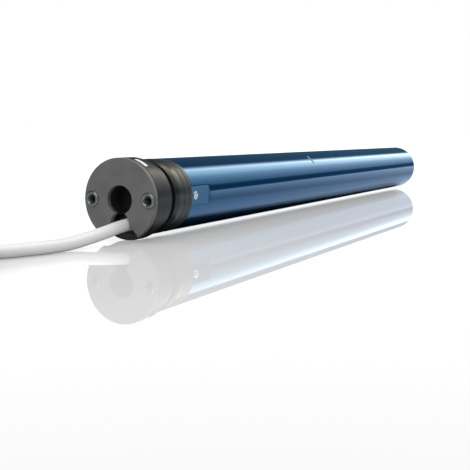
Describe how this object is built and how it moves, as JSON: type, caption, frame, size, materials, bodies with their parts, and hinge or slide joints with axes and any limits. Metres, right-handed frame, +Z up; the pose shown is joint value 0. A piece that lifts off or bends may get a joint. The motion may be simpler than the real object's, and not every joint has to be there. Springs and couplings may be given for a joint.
{
  "type": "roller shutter motor",
  "caption": "Tubular motor for a roller shutter: steel tube with a fixed head, turning crown, limit buttons, planetary gearbox, output shaft and motor cable.",
  "frame": {"origin": "centre of the head's front face, on the motor's axis, at the mouth of the stud bore", "axes": "+Y along the motor from the head to the output shaft, +Z up, +X to the right seen from the head's front; the surface that the motor lies on is at Z = -25 mm"},
  "size_m": [0.0835, 0.9124, 0.05],
  "materials": {
    "head_plastic": "matt moulded glass-filled nylon, mid grey",
    "head_body_plastic": "satin moulded glass-filled nylon, dark grey",
    "zinc_steel": "zinc-plated turned steel",
    "button_white": "satin moulded plastic",
    "button_yellow": "satin moulded plastic",
    "spring_steel": "drawn spring wire",
    "black_plastic": "satin black moulded plastic",
    "seal_rubber": "matt black rubber",
    "frame_plastic": "light moulded plastic",
    "gear_plastic": "ivory acetal",
    "cam_plastic": "red moulded plastic",
    "switch_plastic": "black moulded plastic",
    "tube_coat": "glossy metallic blue coating on steel tube",
    "capacitor_can": "drawn aluminium can",
    "lead_insulation": "PVC insulation",
    "cast_aluminium": "die-cast aluminium",
    "bearing_steel": "ground bearing steel",
    "lamination": "stacked electrical steel sheet",
    "copper_wire": "enamelled copper wire",
    "shaft_steel": "turned steel",
    "brake_lining": "bonded brake lining",
    "gear_steel": "sintered steel",
    "bush_bronze": "sintered bronze",
    "cable_jacket": "white satin PVC sheath",
    "tie_fabric": "black hook-and-loop tape",
    "conductor": "PVC insulation, tin ferrules"
  },
  "bodies": {
    "housing": {"head_plate": "head_plastic", "head_body": "head_body_plastic", "sleeves": "zinc_steel", "button_springs": "spring_steel", "cable_plug": "black_plastic", "crown_seal": "seal_rubber", "retaining_collar": "black_plastic", "limit_frame": "frame_plastic", "gear_pins": "shaft_steel", "microswitches": "switch_plastic", "tube": "tube_coat", "tube_screws": "zinc_steel", "capacitor_cradle": "frame_plastic", "capacitor": "capacitor_can", "inner_leads": "lead_insulation", "front_shield": "cast_aluminium", "front_bearing": "bearing_steel", "stator_core": "lamination", "windings": "copper_wire", "rear_shield": "cast_aluminium", "rear_bearing": "bearing_steel", "brake_yoke": "gear_steel", "brake_coil": "copper_wire", "brake_spring": "spring_steel", "brake_plate": "gear_steel", "gear_housing": "gear_steel", "output_bush": "bush_bronze", "end_cap": "black_plastic", "cable_run": "cable_jacket", "cable_hank": "cable_jacket", "hank_ties": "tie_fabric", "cable_wires": "conductor"},
    "white_button": {"button_white": "button_white"},
    "yellow_button": {"button_yellow": "button_yellow"},
    "crown": {"crown_ring": "black_plastic"},
    "limit_pinion": {"limit_pinion": "gear_plastic"},
    "count_gear_1": {"count_gear_1": "gear_plastic"},
    "count_gear_2": {"count_gear_2": "gear_plastic"},
    "count_gear_3": {"count_gear_3": "gear_plastic"},
    "cam_shaft": {"cam_wheel": "gear_plastic", "limit_cams": "cam_plastic"},
    "rotor": {"rotor_core": "lamination", "rotor_shaft": "shaft_steel", "brake_disc": "brake_lining", "sun_gear": "gear_steel"},
    "armature": {"brake_armature": "gear_steel"},
    "carrier_1": {"carrier_1": "gear_steel"},
    "carrier_2": {"carrier_2": "gear_steel"},
    "output": {"carrier_3": "gear_steel", "output_shaft": "shaft_steel"},
    "planet_1_1": {"planet_1_1": "gear_plastic"},
    "planet_1_2": {"planet_1_2": "gear_plastic"},
    "planet_1_3": {"planet_1_3": "gear_plastic"},
    "planet_2_1": {"planet_2_1": "gear_plastic"},
    "planet_2_2": {"planet_2_2": "gear_plastic"},
    "planet_2_3": {"planet_2_3": "gear_plastic"},
    "planet_3_1": {"planet_3_1": "gear_plastic"},
    "planet_3_2": {"planet_3_2": "gear_plastic"},
    "planet_3_3": {"planet_3_3": "gear_plastic"}
  },
  "joints": [
    {"name": "white_button_press", "type": "slide", "parent": "housing", "child": "white_button", "axis": [-0.454, 0, -0.891], "range_m": [0, 0.002], "stiffness_N_per_m": 400, "springref_m": -0.001, "deforming": ["button_springs"]},
    {"name": "yellow_button_press", "type": "slide", "parent": "housing", "child": "yellow_button", "axis": [0.454, 0, -0.891], "range_m": [0, 0.002], "stiffness_N_per_m": 400, "springref_m": -0.001},
    {"name": "crown_spin", "type": "hinge", "parent": "housing", "child": "crown", "pos_m": [0, 0.03, 0], "axis": [0, 1, 0], "continuous": true},
    {"name": "limit_pinion_spin", "type": "hinge", "parent": "housing", "child": "limit_pinion", "pos_m": [0, 0.035, 0.015], "axis": [0, 1, 0], "continuous": true},
    {"name": "count_gear_1_spin", "type": "hinge", "parent": "housing", "child": "count_gear_1", "pos_m": [-0.006, 0.053, 0.007], "axis": [0, 1, 0], "continuous": true},
    {"name": "count_gear_2_spin", "type": "hinge", "parent": "housing", "child": "count_gear_2", "pos_m": [0.002, 0.056, 0.001], "axis": [0, 1, 0], "continuous": true},
    {"name": "count_gear_3_spin", "type": "hinge", "parent": "housing", "child": "count_gear_3", "pos_m": [-0.006, 0.058, 0.007], "axis": [0, 1, 0], "continuous": true},
    {"name": "cam_shaft_spin", "type": "hinge", "parent": "housing", "child": "cam_shaft", "pos_m": [0.002, 0.062, 0.001], "axis": [0, 1, 0], "continuous": true},
    {"name": "rotor_spin", "type": "hinge", "parent": "housing", "child": "rotor", "pos_m": [0, 0.267, 0], "axis": [0, 1, 0], "continuous": true},
    {"name": "brake_release", "type": "slide", "parent": "housing", "child": "armature", "axis": [0, -1, 0], "range_m": [0, 0.00045], "stiffness_N_per_m": 4000, "springref_m": -0.004, "deforming": ["brake_spring"]},
    {"name": "carrier_1_spin", "type": "hinge", "parent": "housing", "child": "carrier_1", "pos_m": [0, 0.493, 0], "axis": [0, 1, 0], "continuous": true},
    {"name": "carrier_2_spin", "type": "hinge", "parent": "housing", "child": "carrier_2", "pos_m": [0, 0.521, 0], "axis": [0, 1, 0], "continuous": true},
    {"name": "output_spin", "type": "hinge", "parent": "housing", "child": "output", "pos_m": [0, 0.59, 0], "axis": [0, 1, 0], "continuous": true},
    {"name": "planet_1_1_spin", "type": "hinge", "parent": "carrier_1", "child": "planet_1_1", "pos_m": [0, 0.482, 0.01125], "axis": [0, 1, 0], "continuous": true},
    {"name": "planet_1_2_spin", "type": "hinge", "parent": "carrier_1", "child": "planet_1_2", "pos_m": [-0.00974, 0.482, -0.00562], "axis": [0, 1, 0], "continuous": true},
    {"name": "planet_1_3_spin", "type": "hinge", "parent": "carrier_1", "child": "planet_1_3", "pos_m": [0.00974, 0.482, -0.00562], "axis": [0, 1, 0], "continuous": true},
    {"name": "planet_2_1_spin", "type": "hinge", "parent": "carrier_2", "child": "planet_2_1", "pos_m": [0, 0.51, 0.01125], "axis": [0, 1, 0], "continuous": true},
    {"name": "planet_2_2_spin", "type": "hinge", "parent": "carrier_2", "child": "planet_2_2", "pos_m": [-0.00974, 0.51, -0.00562], "axis": [0, 1, 0], "continuous": true},
    {"name": "planet_2_3_spin", "type": "hinge", "parent": "carrier_2", "child": "planet_2_3", "pos_m": [0.00974, 0.51, -0.00562], "axis": [0, 1, 0], "continuous": true},
    {"name": "planet_3_1_spin", "type": "hinge", "parent": "output", "child": "planet_3_1", "pos_m": [0, 0.538, 0.01125], "axis": [0, 1, 0], "continuous": true},
    {"name": "planet_3_2_spin", "type": "hinge", "parent": "output", "child": "planet_3_2", "pos_m": [-0.00974, 0.538, -0.00562], "axis": [0, 1, 0], "continuous": true},
    {"name": "planet_3_3_spin", "type": "hinge", "parent": "output", "child": "planet_3_3", "pos_m": [0.00974, 0.538, -0.00562], "axis": [0, 1, 0], "continuous": true}
  ],
  "couplings": [
    {"joint": "limit_pinion_spin", "follows": "crown_spin", "ratio": 5},
    {"joint": "count_gear_1_spin", "follows": "crown_spin", "ratio": -1.6667},
    {"joint": "count_gear_2_spin", "follows": "crown_spin", "ratio": 0.55556},
    {"joint": "count_gear_3_spin", "follows": "crown_spin", "ratio": -0.18519},
    {"joint": "cam_shaft_spin", "follows": "crown_spin", "ratio": 0.061728},
    {"joint": "carrier_1_spin", "follows": "rotor_spin", "ratio": 0.2},
    {"joint": "carrier_2_spin", "follows": "rotor_spin", "ratio": 0.04},
    {"joint": "output_spin", "follows": "rotor_spin", "ratio": 0.008},
    {"joint": "planet_1_1_spin", "follows": "rotor_spin", "ratio": -0.53333},
    {"joint": "planet_1_2_spin", "follows": "rotor_spin", "ratio": -0.53333},
    {"joint": "planet_1_3_spin", "follows": "rotor_spin", "ratio": -0.53333},
    {"joint": "planet_2_1_spin", "follows": "rotor_spin", "ratio": -0.10667},
    {"joint": "planet_2_2_spin", "follows": "rotor_spin", "ratio": -0.10667},
    {"joint": "planet_2_3_spin", "follows": "rotor_spin", "ratio": -0.10667},
    {"joint": "planet_3_1_spin", "follows": "rotor_spin", "ratio": -0.021333},
    {"joint": "planet_3_2_spin", "follows": "rotor_spin", "ratio": -0.021333},
    {"joint": "planet_3_3_spin", "follows": "rotor_spin", "ratio": -0.021333}
  ]
}
